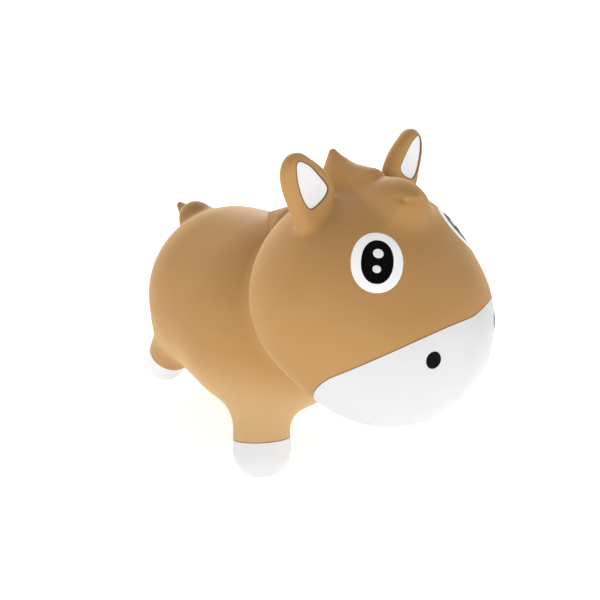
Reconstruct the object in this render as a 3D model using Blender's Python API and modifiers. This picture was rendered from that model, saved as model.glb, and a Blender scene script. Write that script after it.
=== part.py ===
"""A bouncy ride-on horse: a hollow vinyl hide filled with air, on four short legs, with ears to hold.

Metres, +Z up. The horse faces -Y and its left side is +X. The origin is on the floor, under the
middle of the box round the whole horse. The hide is one moulding on the real toy; here it is
parted where its paint changes colour and where it bends.
"""

import math

import bmesh
import bpy
import numpy as np
from mathutils import Matrix, Vector

# Hide: wall of the moulding, clearance between neighbours, and the radii where its forms meet
wall = 0.0025
gap = 0.0003
leg_fillet = 0.034
neck_fillet = 0.018
hide_step = 0.009
hide_triangles = 2900

# Trunk: an egg from the rump to the chest, with the clearance of each ball over the floor
chest_radius = 0.149
chest_y = 0.0548
chest_clearance = 0.030
rump_radius = 0.140
rump_clearance = 0.040
trunk_length = 0.075
trunk_width_share = 0.965

# Head: an egg from the cranium, which rises over the chest's ball by a share of its radius, to
# the snout ahead of it
neck_tilt = math.radians(-57.93)
neck_rise_share = 0.358
cranium_radius = 0.131
snout_radius = 0.113
snout_ahead = 0.0575
snout_drop = 0.032
head_width_share = 1.13

# Muzzle paint: white below a tilted plane, given by its height over the snout's centre
paint_rise = -0.0228
paint_tilt = math.radians(40.3)

# Front legs: hoof ball, flat sole, shoulder ball, paint line over the hoof ball and the leg's
# places and spread as shares of the chest's radius
front_hoof_radius = 0.041
front_sole_radius = 0.016
front_hoof_shares = (0.6644, -0.6242)
shoulder_radius = 0.036
shoulder_shares = (0.443, -0.3289, -0.302)
front_paint_rise = 0.0155
front_root_share = 0.3893

# Hind legs, the same way, with shares of the rump's radius
hind_hoof_radius = 0.0335
hind_sole_radius = 0.013
hind_hoof_shares = (0.4821, 0.8143)
hip_radius = 0.043
hip_shares = (0.4286, 0.4286, -0.4)
hind_paint_rise = 0.024
hind_root_share = 0.3071
sole_trim = 0.0004

# Ears: a hollow lobe dished in front, standing on a short root that bends
ear_heading = math.radians(102.5)
ear_elevation = math.radians(54.5)
ear_lean = math.radians(15.0)
ear_sweep = math.radians(5.0)
ear_turn = math.radians(14.0)
ear_half_width = 0.0305
ear_half_thickness = 0.016
ear_half_height = 0.043
ear_lift = 0.035
ear_root_height = 0.012
dish_depth = 0.006
dish_half_width = 0.024
dish_half_height = 0.037
dish_bulge = 0.0245
lining_width = 0.031
lining_height = 0.052

# Mane on the crown: an upright tuft and the ridge that runs forward from it. Hair is placed by a
# tilt back from straight up and a rise over the ball that carries it, here the cranium
tuft_tip_radius = 0.0055
tuft_tip_tilt = math.radians(21.9)
tuft_tip_rise = 0.0393
tuft_root_radius = 0.020
tuft_root_tilt = math.radians(19.8)
tuft_root_rise = -0.0013
ridge_rear_radius = 0.016
ridge_rear_tilt = math.radians(20.4)
ridge_rear_rise = 0.0066
ridge_front_radius = 0.018
ridge_front_tilt = math.radians(-3.6)
ridge_front_rise = -0.0037
ridge_fillet = 0.018
hair_step = 0.0045
hair_triangles = 280

# Forelock: a soft pad on the brow that ends in a curl
pad_half_width = 0.034
pad_half_length = 0.040
pad_half_height = 0.022
pad_tilt = math.radians(-14.4)
pad_rise = -0.0102
pad_slope = math.radians(-22)
curl_root_radius = 0.010
curl_root_tilt = math.radians(-21.5)
curl_root_rise = 0.0001
curl_tip_radius = 0.0055
curl_tip_tilt = math.radians(-25.8)
curl_tip_rise = 0.0112
curl_fillet = 0.010

# Nape tuft: a short point behind the head
nape_tip_radius = 0.0055
nape_tip_tilt = math.radians(73.8)
nape_tip_rise = 0.045
nape_root_radius = 0.031
nape_root_tilt = math.radians(65.5)
nape_root_rise = -0.0079

# Tail: a rounded dock with an upturned point, placed on the rump's ball
dock_half_width = 0.027
dock_half_length = 0.036
dock_half_height = 0.034
dock_tilt = math.radians(45.9)
dock_rise = -0.0049
tail_root_radius = 0.014
tail_root_tilt = math.radians(50.05)
tail_root_rise = 0.0126
tail_tip_radius = 0.0055
tail_tip_tilt = math.radians(54.16)
tail_tip_rise = 0.0426
tail_fillet = 0.010

# Eyes, ear linings and nostrils: coats of paint that follow what they lie on
paint_thickness = 0.0006
eye_heading = math.radians(45.9)
eye_elevation = math.radians(38.8)
eye_half_width = 0.0272
eye_half_height = 0.0333
pupil_half_width = 0.0168
pupil_half_height = 0.0237
upper_glint_radius = 0.0058
upper_glint_rise = 0.0088
lower_glint_radius = 0.0046
lower_glint_rise = -0.0084
nostril_heading = math.radians(35.4)
nostril_elevation = math.radians(14.8)
nostril_radius = 0.0085

# Air valve under the chest: a boss in the hide, a seat bonded into it and a plug in the seat's bore
valve_flat_radius = 0.022
boss_radius = 0.0185
boss_height = 0.005
boss_proud = 0.0005
flange_radius = 0.016
flange_thickness = 0.002
sleeve_radius = 0.009
sleeve_length = 0.016
bore_radius = 0.0048
plug_head_radius = 0.0085
plug_head_thickness = 0.0025
plug_stem_length = 0.0185
plug_tip_radius = 0.0034

# How finely round pieces are divided, and how the solver of the curved skin steps
ball_sides = 20
turned_sides = 24
outline_sides = 20
settle_steps = 8
march_steps = 60
probe = 0.0005
merge_reach = 0.000001
cutter_reach = 0.7

tan_colour = (0.49, 0.285, 0.125, 1.0)
white_colour = (0.87, 0.87, 0.88, 1.0)
black_colour = (0.012, 0.012, 0.012, 1.0)
glint_colour = (0.75, 0.75, 0.75, 1.0)
valve_colour = (0.70, 0.68, 0.62, 1.0)


# Balls and places worked out from the sizes above
def tilted(centre, tilt, reach):
    """A place over the middle line, at a tilt back from straight up."""
    return centre + Vector((0, math.sin(tilt), math.cos(tilt))) * reach


chest = Vector((0, chest_y, chest_clearance + chest_radius))
rump = Vector((0, chest_y + trunk_length, rump_clearance + rump_radius))
cranium = tilted(chest, neck_tilt, chest_radius + cranium_radius * neck_rise_share)
snout = cranium + Vector((0, -snout_ahead, -snout_drop))
valve_flat_z = chest.z - math.sqrt(chest_radius**2 - valve_flat_radius**2)
sides = (("left", 1), ("right", -1))


# Scene, collections and materials
def clear_scene():
    for old in list(bpy.data.objects):
        bpy.data.objects.remove(old, do_unlink=True)


def new_collection(name):
    group = bpy.data.collections.new(name)
    bpy.context.scene.collection.children.link(group)
    return group


def new_material(name, colour, roughness):
    material = bpy.data.materials.new(name)
    material.use_nodes = True
    shader = material.node_tree.nodes["Principled BSDF"]
    shader.inputs["Base Color"].default_value = colour
    shader.inputs["Roughness"].default_value = roughness
    shader.inputs["Metallic"].default_value = 0.0
    return material


clear_scene()
parts = new_collection("bouncy_horse")
cutters = new_collection("cutters")
tan_vinyl = new_material("tan_vinyl", tan_colour, 0.42)
white_vinyl = new_material("white_vinyl", white_colour, 0.38)
black_paint = new_material("black_paint", black_colour, 0.3)
glint_paint = new_material("glint_paint", glint_colour, 0.35)
valve_vinyl = new_material("valve_vinyl", valve_colour, 0.35)


# Distance fields: how far each of the given points lies outside a form
def blended(first, second, fillet):
    """Two fields joined with a fillet where they meet."""
    share = np.clip(0.5 + 0.5 * (second - first) / fillet, 0, 1)
    return second * (1 - share) + first * share - fillet * share * (1 - share)


def egg_field(points, start, end, start_radius, end_radius, width_share=1.0):
    """The hull of two balls. width_share widens it along X."""
    squeeze = np.array([1 / width_share, 1, 1])
    start, end = np.array(start) * squeeze, np.array(end) * squeeze
    along = end - start
    length = math.sqrt(along @ along)
    offset = points * squeeze - start
    height = offset @ (along / length)
    aside = np.sqrt(np.maximum((offset * offset).sum(axis=1) - height * height, 0))
    taper = (start_radius - end_radius) / length
    foot = height - aside * taper / math.sqrt(1 - taper * taper)
    nearest = np.clip(foot, 0, length)
    return np.hypot(aside, height - nearest) - (start_radius - taper * nearest)


def lobe_field(points, centre, half_sizes, axes):
    """An ellipsoid. axes holds the unit directions of its three half sizes as rows."""
    offset = (points - np.array(centre)) @ np.array(axes).T
    sizes = np.array(half_sizes)
    near = np.sqrt(((offset / sizes) ** 2).sum(axis=1))
    steep = np.sqrt(((offset / sizes**2) ** 2).sum(axis=1))
    return near * (near - 1) / np.maximum(steep, 1e-9)


def head_field(points):
    return egg_field(points, cranium, snout, cranium_radius, snout_radius, head_width_share)


def trunk_field(points):
    trunk = egg_field(points, rump, chest, rump_radius, chest_radius, trunk_width_share)
    return np.maximum(trunk, valve_flat_z - points[:, 2])


def on_side(place, side):
    """A place on the horse's left, or the same place on its right where side is -1."""
    return Vector((place[0] * side, place[1], place[2]))


class Leg:
    """The balls of a leg on the horse's left, and the cone and plane that bound its zones."""

    def __init__(self, name, carrier, carrier_radius, hoof, shoulder, root_share, paint_rise):
        """carrier is the trunk's ball. hoof and shoulder hold a radius and shares of its radius."""
        self.name = name
        self.carrier = carrier
        self.hoof_radius, sole_radius, foot_shares = hoof
        self.shoulder_radius, shoulder_shares = shoulder
        self.foot = carrier + Vector((*foot_shares, 0)) * carrier_radius
        self.foot.z = math.sqrt(self.hoof_radius**2 - sole_radius**2)
        self.shoulder = carrier + Vector(shoulder_shares) * carrier_radius
        self.paint_rise = paint_rise
        self.seat = carrier_radius * math.sqrt(1 - root_share**2)
        self.spread = root_share * carrier_radius / self.seat

    def field(self, points):
        return egg_field(points, self.foot, self.shoulder, self.hoof_radius, self.shoulder_radius)


front_leg = Leg(
    "front",
    chest,
    chest_radius,
    (front_hoof_radius, front_sole_radius, front_hoof_shares),
    (shoulder_radius, shoulder_shares),
    front_root_share,
    front_paint_rise,
)
hind_leg = Leg(
    "hind",
    rump,
    rump_radius,
    (hind_hoof_radius, hind_sole_radius, hind_hoof_shares),
    (hip_radius, hip_shares),
    hind_root_share,
    hind_paint_rise,
)
legs = (front_leg, hind_leg)


def folded(points):
    """The points with their right half turned over to the left, for forms that come in pairs."""
    return np.column_stack([np.abs(points[:, 0]), points[:, 1], points[:, 2]])


def hide_field(points):
    field = trunk_field(points)
    for leg in legs:
        field = blended(field, leg.field(folded(points)), leg_fillet)
    field = blended(field, head_field(points), neck_fillet)
    return np.maximum(field, -points[:, 2] - sole_trim)


def slopes(field, points):
    """Unit normals of a field at the points."""
    found = np.empty_like(points)
    for axis in range(3):
        step = np.zeros(3)
        step[axis] = probe
        found[:, axis] = field(points + step) - field(points - step)
    return found / np.maximum(np.linalg.norm(found, axis=1), 1e-12)[:, None]


def settled(field, points):
    """The points moved along the field's slope until they lie on the form."""
    for _ in range(settle_steps):
        points = points - slopes(field, points) * field(points)[:, None]
    return points


def reached(field, start, direction):
    """Where a ray from inside a form comes out of it."""
    travel = 0.0
    for _ in range(march_steps):
        travel -= field(np.array([start + direction * travel]))[0]
    return start + direction * travel


def heading_direction(heading, elevation, side):
    """heading turns from the nose (-Y) towards the side, elevation rises from level."""
    flat = math.cos(elevation)
    return Vector((math.sin(heading) * flat * side, -math.cos(heading) * flat, math.sin(elevation)))


# Meshes
def link(name, mesh, material, group=parts):
    thing = bpy.data.objects.new(name, mesh)
    group.objects.link(thing)
    if material:
        mesh.materials.append(material)
    if group is cutters:
        thing.hide_render = True
        thing.display_type = "WIRE"
    return thing


def add_egg(shape, start, end, start_radius, end_radius, width_share=1.0):
    """The hull of two balls, added to a bmesh."""
    made = []
    for centre, radius in ((start, start_radius), (end, end_radius)):
        place = Matrix.Translation(centre) @ Matrix.Diagonal((width_share, 1, 1, 1))
        ball = bmesh.ops.create_uvsphere(
            shape, u_segments=ball_sides, v_segments=ball_sides // 2, radius=radius, matrix=place
        )
        made += ball["verts"]
    hull = bmesh.ops.convex_hull(shape, input=made)
    inside = [part for part in hull["geom_interior"] if isinstance(part, bmesh.types.BMVert)]
    bmesh.ops.delete(shape, geom=inside, context="VERTS")


def add_lobe(shape, centre, half_sizes, axes):
    turn = Matrix(axes).transposed().to_4x4()
    place = Matrix.Translation(centre) @ turn @ Matrix.Diagonal((*half_sizes, 1))
    bmesh.ops.create_uvsphere(
        shape, u_segments=ball_sides, v_segments=ball_sides // 2, radius=1, matrix=place
    )


def settle_mesh(mesh, field):
    """Lays the mesh's points on the field and splits its faces, so that all copies match."""
    points = np.empty(len(mesh.vertices) * 3)
    mesh.vertices.foreach_get("co", points)
    points = settled(field, points.reshape(-1, 3))
    mesh.vertices.foreach_set("co", points.ravel())
    split = bmesh.new()
    split.from_mesh(mesh)
    bmesh.ops.triangulate(split, faces=split.faces)
    split.to_mesh(mesh)
    split.free()
    mesh.shade_smooth()
    return mesh


def baked(name, mesh, kind, **settings):
    """The mesh that one modifier makes of another."""
    thing = link(name, mesh, None, cutters)
    modifier = thing.modifiers.new(kind.lower(), kind)
    for setting, value in settings.items():
        setattr(modifier, setting, value)
    graph = bpy.context.evaluated_depsgraph_get()
    made = bpy.data.meshes.new_from_object(thing.evaluated_get(graph))
    bpy.data.objects.remove(thing, do_unlink=True)
    made.name = name
    return made


def to_mesh(name, shape):
    mesh = bpy.data.meshes.new(name)
    shape.to_mesh(mesh)
    shape.free()
    return mesh


def moulded(name, shape, field, step, triangles):
    """One closed skin round overlapping shapes, on the field that rounds their joins."""
    mesh = baked(name, to_mesh(name, shape), "REMESH", mode="VOXEL", voxel_size=step)
    mesh = settle_mesh(mesh, field)
    share = triangles / len(mesh.polygons)
    mesh = baked(name, mesh, "DECIMATE", ratio=share, use_symmetry=True, symmetry_axis="X")
    return settle_mesh(mesh, field)


def add_wall(thing, thickness, offset=-1):
    """A wall from the skin inwards, or outwards where the offset is 1."""
    modifier = thing.modifiers.new("wall", "SOLIDIFY")
    modifier.thickness = thickness
    modifier.offset = offset


def add_clearance(thing):
    modifier = thing.modifiers.new("clearance", "DISPLACE")
    modifier.strength = gap
    modifier.mid_level = 0


def cut(thing, cutter, operation="DIFFERENCE"):
    modifier = thing.modifiers.new(operation.lower() + "_" + cutter.name, "BOOLEAN")
    modifier.operation = operation
    modifier.object = cutter
    modifier.solver = "EXACT"


def turn_to(direction):
    """A rotation that takes +Z to the direction."""
    return direction.to_track_quat("Z", "Y").to_matrix().to_4x4()


def block(name, place, direction, shift=0.0):
    """A large box whose near face passes through the place, reaching away along the direction."""
    shape = bmesh.new()
    middle = place + direction * (cutter_reach / 2 + shift)
    matrix = Matrix.Translation(middle) @ turn_to(direction)
    bmesh.ops.create_cube(shape, size=cutter_reach, matrix=matrix)
    return link(name, to_mesh(name, shape), None, cutters)


def rod(name, place, axes, half_width, half_height, length):
    """An oval rod centred on the place. axes are its width, height and length directions."""
    shape = bmesh.new()
    turn = Matrix(axes).transposed().to_4x4()
    matrix = Matrix.Translation(place) @ turn @ Matrix.Diagonal((half_width, half_height, length, 1))
    bmesh.ops.create_cone(
        shape, cap_ends=True, segments=outline_sides, radius1=1, radius2=1, depth=1, matrix=matrix
    )
    return link(name, to_mesh(name, shape), None, cutters)


def turned(name, profile, place, direction, material):
    """A profile of (radius, height) points turned about the direction through the place."""
    mesh = bpy.data.meshes.new(name)
    edges = [(i, i + 1) for i in range(len(profile) - 1)]
    if profile[0][0] > 0:
        edges.append((len(profile) - 1, 0))
    mesh.from_pydata([(radius, 0, height) for radius, height in profile], edges, [])
    thing = link(name, mesh, material)
    screw = thing.modifiers.new("turned", "SCREW")
    screw.steps = turned_sides
    screw.render_steps = turned_sides
    screw.use_merge_vertices = True
    screw.merge_threshold = merge_reach
    thing.matrix_world = Matrix.Translation(place) @ turn_to(direction)
    return thing


def set_origin(thing, place):
    thing.data.transform(Matrix.Translation(-place))
    thing.location = place


# Hide: one skin for the trunk, head and legs
def rough_hide():
    shape = bmesh.new()
    add_egg(shape, cranium, snout, cranium_radius, snout_radius, head_width_share)
    add_egg(shape, rump, chest, rump_radius, chest_radius, trunk_width_share)
    for leg in legs:
        for _, side in sides:
            foot, shoulder = on_side(leg.foot, side), on_side(leg.shoulder, side)
            add_egg(shape, foot, shoulder, leg.hoof_radius, leg.shoulder_radius)
    return shape


skin = moulded("hide_skin", rough_hide(), hide_field, hide_step, hide_triangles)
hide_cutter = link("hide_cutter", skin.copy(), None, cutters)
add_clearance(hide_cutter)


def zone(name, mesh, material):
    thing = link(name, mesh.copy(), material)
    add_wall(thing, wall)
    return thing


# Trunk, head and muzzle, parted at the neck and at the muzzle's paint line
def neck_plane():
    """The plane where the cranium's ball meets the chest's ball, and its direction to the head."""
    apart = (chest - cranium).length
    reach = (apart**2 + cranium_radius**2 - chest_radius**2) / (2 * apart)
    return cranium + (chest - cranium) * reach / apart, (cranium - chest) / apart


neck_place, neck_up = neck_plane()
paint_place = snout + Vector((0, 0, paint_rise))
paint_down = Vector((0, -math.sin(paint_tilt), -math.cos(paint_tilt)))
head_block = block("head_block", neck_place, neck_up)
head_block_inner = block("head_block_inner", neck_place, neck_up, gap)
muzzle_block = block("muzzle_block", paint_place, paint_down)
muzzle_block_inner = block("muzzle_block_inner", paint_place, paint_down, gap)

body = zone("hide_body", skin, tan_vinyl)
cut(body, head_block)
head = zone("hide_head", skin, tan_vinyl)
cut(head, head_block_inner, "INTERSECT")
cut(head, muzzle_block)
muzzle = zone("muzzle", skin, white_vinyl)
cut(muzzle, head_block_inner, "INTERSECT")
cut(muzzle, muzzle_block_inner, "INTERSECT")


# Legs and hooves, parted from the trunk by cones and from each other at their paint lines
def leg_cone(name, leg, side, shift):
    """A cone that widens from the trunk's centre, cuts its wall squarely and holds one leg."""
    centre = on_side(leg.carrier, side)
    axis = on_side(leg.foot - leg.carrier, side)
    near = leg.seat - 4 * wall
    far = axis.length + 2 * leg.hoof_radius
    axis.normalize()
    shape = bmesh.new()
    bmesh.ops.create_cone(
        shape,
        cap_ends=True,
        segments=turned_sides,
        radius1=leg.spread * near - shift,
        radius2=leg.spread * far - shift,
        depth=far - near,
        matrix=Matrix.Translation(centre + axis * (near + far) / 2) @ turn_to(axis),
    )
    return link(name, to_mesh(name, shape), None, cutters)


floor_block = block("floor_block", Vector((0, 0, 0)), Vector((0, 0, -1)))


def make_leg(leg, side_name, side):
    label = "%s_%s" % (leg.name, side_name)
    foot = on_side(leg.foot, side)
    up = (on_side(leg.shoulder, side) - foot).normalized()
    paint_line = foot + up * leg.paint_rise
    cut(body, leg_cone("leg_cone_" + label, leg, side, 0.0))
    inner = leg_cone("leg_cone_inner_" + label, leg, side, gap)

    shank = zone("leg_" + label, skin, tan_vinyl)
    cut(shank, inner, "INTERSECT")
    cut(shank, block("hoof_block_" + label, paint_line, -up))

    hoof = zone("hoof_" + label, skin, white_vinyl)
    set_origin(hoof, foot)
    cut(hoof, inner, "INTERSECT")
    cut(hoof, block("hoof_block_inner_" + label, paint_line, -up, gap), "INTERSECT")
    cut(hoof, floor_block)


for leg in legs:
    for side_name, side in sides:
        make_leg(leg, side_name, side)


# Coats of paint: a thin layer over a skin, kept where it lies inside a rod
def coat(name, mesh, material):
    thing = link(name, mesh.copy(), material)
    add_clearance(thing)
    add_wall(thing, paint_thickness, 1)
    return thing


def oval_coat(name, mesh, material, place, axes, half_width, half_height):
    """An oval coat on the head. The rod that keeps it is as long as the oval is high."""
    thing = coat(name, mesh, material)
    length = 2 * half_height
    cut(thing, rod(name + "_rod", place, axes, half_width, half_height, length), "INTERSECT")
    return thing


def facing_axes(out):
    """Across, up and out directions on a surface that faces out."""
    up = Vector((0, 0, 1))
    up = (up - out * up.dot(out)).normalized()
    return up.cross(out), up, out


def head_seat(start, heading, elevation, side):
    """A place on the head seen from a ball's centre, with its across, up and out directions."""
    place = reached(head_field, start, heading_direction(heading, elevation, side))
    out = Vector(slopes(head_field, np.array([place]))[0])
    return place, facing_axes(out)


def make_eye(side_name, side):
    """A white ring, a black pupil inside it and two glints let into the pupil."""
    place, axes = head_seat(cranium, eye_heading, eye_elevation, side)
    name = "eye_white_" + side_name
    white = oval_coat(name, skin, white_vinyl, place, axes, eye_half_width, eye_half_height)
    rim = (pupil_half_width + gap, pupil_half_height + gap)
    cut(white, rod(name + "_hole", place, axes, *rim, 2 * eye_half_height))
    name = "eye_pupil_" + side_name
    pupil = oval_coat(name, skin, black_paint, place, axes, pupil_half_width, pupil_half_height)
    for label, radius, rise in (
        ("upper", upper_glint_radius, upper_glint_rise),
        ("lower", lower_glint_radius, lower_glint_rise),
    ):
        spot = place + axes[1] * rise
        name = "eye_glint_%s_%s" % (label, side_name)
        oval_coat(name, skin, glint_paint, spot, axes, radius, radius)
        hole = radius + gap
        cut(pupil, rod(name + "_hole", spot, axes, hole, hole, 2 * pupil_half_height))


def make_nostril(side_name, side):
    place, axes = head_seat(snout, nostril_heading, nostril_elevation, side)
    name = "nostril_" + side_name
    oval_coat(name, skin, black_paint, place, axes, nostril_radius, nostril_radius)


for side_name, side in sides:
    make_eye(side_name, side)
    make_nostril(side_name, side)


# Ears: a hollow blade on a root that bends, with a leaf of white paint in its dish
def make_ear(side_name, side):
    base = reached(head_field, cranium, heading_direction(ear_heading, ear_elevation, side))
    up = Vector((math.sin(ear_lean) * side, math.sin(ear_sweep), math.cos(ear_lean))).normalized()
    facing = Vector((math.sin(ear_turn) * side, -math.cos(ear_turn), 0))
    facing = (facing - up * facing.dot(up)).normalized()
    across = up.cross(facing)
    axes = (across, up, facing)
    middle = base + up * ear_lift
    half_sizes = (ear_half_width, ear_half_height, ear_half_thickness)
    dish_middle = middle + facing * (ear_half_thickness - dish_depth + dish_bulge)
    dish_sizes = (dish_half_width, dish_half_height, dish_bulge)

    def ear_field(points):
        blade = lobe_field(points, middle, half_sizes, axes)
        dish = lobe_field(points, dish_middle, dish_sizes, axes)
        return -blended(-blade, dish, dish_depth)

    shape = bmesh.new()
    add_lobe(shape, middle, half_sizes, axes)
    ear_skin = settle_mesh(to_mesh("ear_skin_" + side_name, shape), ear_field)
    bend = base + up * ear_root_height

    root = zone("ear_root_" + side_name, ear_skin, tan_vinyl)
    cut(root, block("ear_block_" + side_name, bend, up))
    cut(root, hide_cutter)

    blade = zone("ear_" + side_name, ear_skin, tan_vinyl)
    cut(blade, block("ear_block_inner_" + side_name, bend, up, gap), "INTERSECT")

    # A leaf is where two round rods overlap
    lining = coat("ear_lining_" + side_name, ear_skin, white_vinyl)
    radius = (lining_height**2 + lining_width**2) / (4 * lining_width)
    front = middle + facing * ear_half_thickness
    for label, turn in (("inner", -1), ("outer", 1)):
        centre = front + across * (radius - lining_width / 2) * turn
        name = "lining_rod_%s_%s" % (label, side_name)
        leaf = rod(name, centre, axes, radius, radius, 2 * ear_half_thickness)
        cut(lining, leaf, "INTERSECT")

    hinge = bpy.data.objects.new("ear_hinge_" + side_name, None)
    parts.objects.link(hinge)
    hinge.location = base + up * ear_root_height / 2
    for piece in (blade, lining):
        piece.parent = hinge
        piece.matrix_parent_inverse = Matrix.Translation(-hinge.location)


for side_name, side in sides:
    make_ear(side_name, side)


# Mane, forelock and tail: hollow points raised from the hide
def make_hair(name, shape, field):
    """Returns the piece and a cutter that clears it."""
    hair_skin = moulded(name + "_skin", shape, field, hair_step, hair_triangles)
    thing = zone(name, hair_skin, tan_vinyl)
    cut(thing, hide_cutter)
    cutter = link(name + "_cutter", hair_skin, None, cutters)
    add_clearance(cutter)
    return thing, cutter


def on_cranium(tilt, rise):
    return tilted(cranium, tilt, cranium_radius + rise)


def on_rump(tilt, rise):
    return tilted(rump, tilt, rump_radius + rise)


tuft_tip = on_cranium(tuft_tip_tilt, tuft_tip_rise)
tuft_root = on_cranium(tuft_root_tilt, tuft_root_rise)
tuft = (tuft_tip, tuft_root, tuft_tip_radius, tuft_root_radius)
ridge_rear = on_cranium(ridge_rear_tilt, ridge_rear_rise)
ridge_front = on_cranium(ridge_front_tilt, ridge_front_rise)
ridge = (ridge_rear, ridge_front, ridge_rear_radius, ridge_front_radius)


def mane_field(points):
    return blended(egg_field(points, *tuft), egg_field(points, *ridge), ridge_fillet)


mane_shape = bmesh.new()
add_egg(mane_shape, *tuft)
add_egg(mane_shape, *ridge)
mane_crown, _ = make_hair("mane_crown", mane_shape, mane_field)


def sloped_axes(slope):
    """Across, length and height directions of a lobe whose length slopes up to the rear."""
    flat, steep = math.cos(slope), math.sin(slope)
    return Vector((1, 0, 0)), Vector((0, flat, steep)), Vector((0, -steep, flat))


pad_sizes = (pad_half_width, pad_half_length, pad_half_height)
pad = (on_cranium(pad_tilt, pad_rise), pad_sizes, sloped_axes(pad_slope))
curl_root = on_cranium(curl_root_tilt, curl_root_rise)
curl_tip = on_cranium(curl_tip_tilt, curl_tip_rise)
curl = (curl_root, curl_tip, curl_root_radius, curl_tip_radius)


def forelock_field(points):
    return blended(lobe_field(points, *pad), egg_field(points, *curl), curl_fillet)


forelock_shape = bmesh.new()
add_lobe(forelock_shape, *pad)
add_egg(forelock_shape, *curl)
_, forelock_cutter = make_hair("forelock", forelock_shape, forelock_field)
cut(mane_crown, forelock_cutter)

nape_tip = on_cranium(nape_tip_tilt, nape_tip_rise)
nape_root = on_cranium(nape_root_tilt, nape_root_rise)
nape = (nape_tip, nape_root, nape_tip_radius, nape_root_radius)


def nape_field(points):
    return egg_field(points, *nape)


nape_shape = bmesh.new()
add_egg(nape_shape, *nape)
make_hair("mane_nape", nape_shape, nape_field)

dock_sizes = (dock_half_width, dock_half_length, dock_half_height)
dock = (on_rump(dock_tilt, dock_rise), dock_sizes, sloped_axes(0.0))
tail_root = on_rump(tail_root_tilt, tail_root_rise)
tail_tip = on_rump(tail_tip_tilt, tail_tip_rise)
tail_point = (tail_root, tail_tip, tail_root_radius, tail_tip_radius)


def tail_field(points):
    return blended(lobe_field(points, *dock), egg_field(points, *tail_point), tail_fillet)


tail_shape = bmesh.new()
add_lobe(tail_shape, *dock)
add_egg(tail_shape, *tail_point)
make_hair("tail", tail_shape, tail_field)


# Air valve: heights in the profiles run down from the boss's face
def make_valve():
    down = Vector((0, 0, -1))
    face = Vector((0, chest_y, valve_flat_z - boss_proud))
    level = (Vector((1, 0, 0)), Vector((0, 1, 0)), Vector((0, 0, 1)))
    boss_middle = face - down * boss_height / 2
    boss = rod("valve_boss", boss_middle, level, boss_radius, boss_radius, boss_height)
    cut(body, boss, "UNION")
    hole_radius = sleeve_radius + gap
    hole = rod("valve_hole", face, level, hole_radius, hole_radius, 2 * sleeve_length)
    cut(body, hole)

    low = gap + flange_thickness
    seat_profile = [
        (flange_radius, low),
        (flange_radius, gap),
        (sleeve_radius, gap),
        (sleeve_radius, -sleeve_length),
        (bore_radius, -sleeve_length),
        (bore_radius, low),
    ]
    turned("valve_seat", seat_profile, face, down, valve_vinyl)

    head_top = low + gap
    head_bottom = head_top + plug_head_thickness
    stem_end = head_top - plug_stem_length
    stem_radius = bore_radius - gap
    plug_profile = [
        (0.0, head_bottom),
        (plug_head_radius, head_bottom),
        (plug_head_radius, head_top),
        (stem_radius, head_top),
        (stem_radius, stem_end + stem_radius),
        (plug_tip_radius, stem_end),
        (0.0, stem_end),
    ]
    turned("valve_plug", plug_profile, face, down, valve_vinyl)


make_valve()
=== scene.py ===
# The looks of a bouncy ride-on horse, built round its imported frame.
# Metres, +Z up. The horse faces -Y and its left side is +X.
import math

import bmesh
import bpy
import numpy as np
from mathutils import Matrix, Vector


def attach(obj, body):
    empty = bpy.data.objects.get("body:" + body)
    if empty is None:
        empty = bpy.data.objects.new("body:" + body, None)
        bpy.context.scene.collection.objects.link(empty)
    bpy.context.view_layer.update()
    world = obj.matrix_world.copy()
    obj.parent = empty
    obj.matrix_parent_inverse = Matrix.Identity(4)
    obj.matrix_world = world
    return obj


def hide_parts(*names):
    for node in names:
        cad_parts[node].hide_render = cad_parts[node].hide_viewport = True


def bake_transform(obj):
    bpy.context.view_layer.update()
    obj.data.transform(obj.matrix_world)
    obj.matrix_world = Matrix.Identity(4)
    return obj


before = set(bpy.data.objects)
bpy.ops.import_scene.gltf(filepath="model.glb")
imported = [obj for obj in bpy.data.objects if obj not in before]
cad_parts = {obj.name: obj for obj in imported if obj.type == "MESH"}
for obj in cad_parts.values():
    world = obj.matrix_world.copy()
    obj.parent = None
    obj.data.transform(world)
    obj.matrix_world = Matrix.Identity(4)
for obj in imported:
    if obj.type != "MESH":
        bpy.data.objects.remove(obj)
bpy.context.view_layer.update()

# The balls and lobes that the hide is blown from
trunk = {
    "chest": (0, 0.0548, 0.179), "chestRadius": 0.149,
    "rump": (0, 0.1298, 0.180), "rumpRadius": 0.140,
    "widthShare": 0.965, "valveFlat": 0.022, "bossRadius": 0.0185, "bossHeight": 0.0005,
}
head = {
    "cranium": (0, -0.1112, 0.283), "craniumRadius": 0.131,
    "snout": (0, -0.1708, 0.2415), "snoutRadius": 0.1037,
    "cheek": (0, -0.1529, 0.2577), "cheekRadius": 0.1216, "cheekFillet": 0.014,
    "widthShare": 1.13, "neckFillet": 0.018,
}
# The paint line and the bend are cuts across the leg, at these rises over the foot's middle
legs = {
    "front": {
        "foot": (0.0990, -0.0382, 0.03775), "hoofRadius": 0.041,
        "shoulder": (0.0660, 0.0058, 0.1340), "shoulderRadius": 0.036,
        "paintRise": 0.0145, "bendRise": 0.052,
    },
    "hind": {
        "foot": (0.0675, 0.2438, 0.03087), "hoofRadius": 0.0335,
        "shoulder": (0.0600, 0.1898, 0.1240), "shoulderRadius": 0.043,
        "paintRise": 0.0270, "bendRise": 0.0485,
    },
}
legCuts = {"fillet": 0.034, "paintReach": 0.07, "bendReach": 0.125, "bendMargin": 0.0003}
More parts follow.
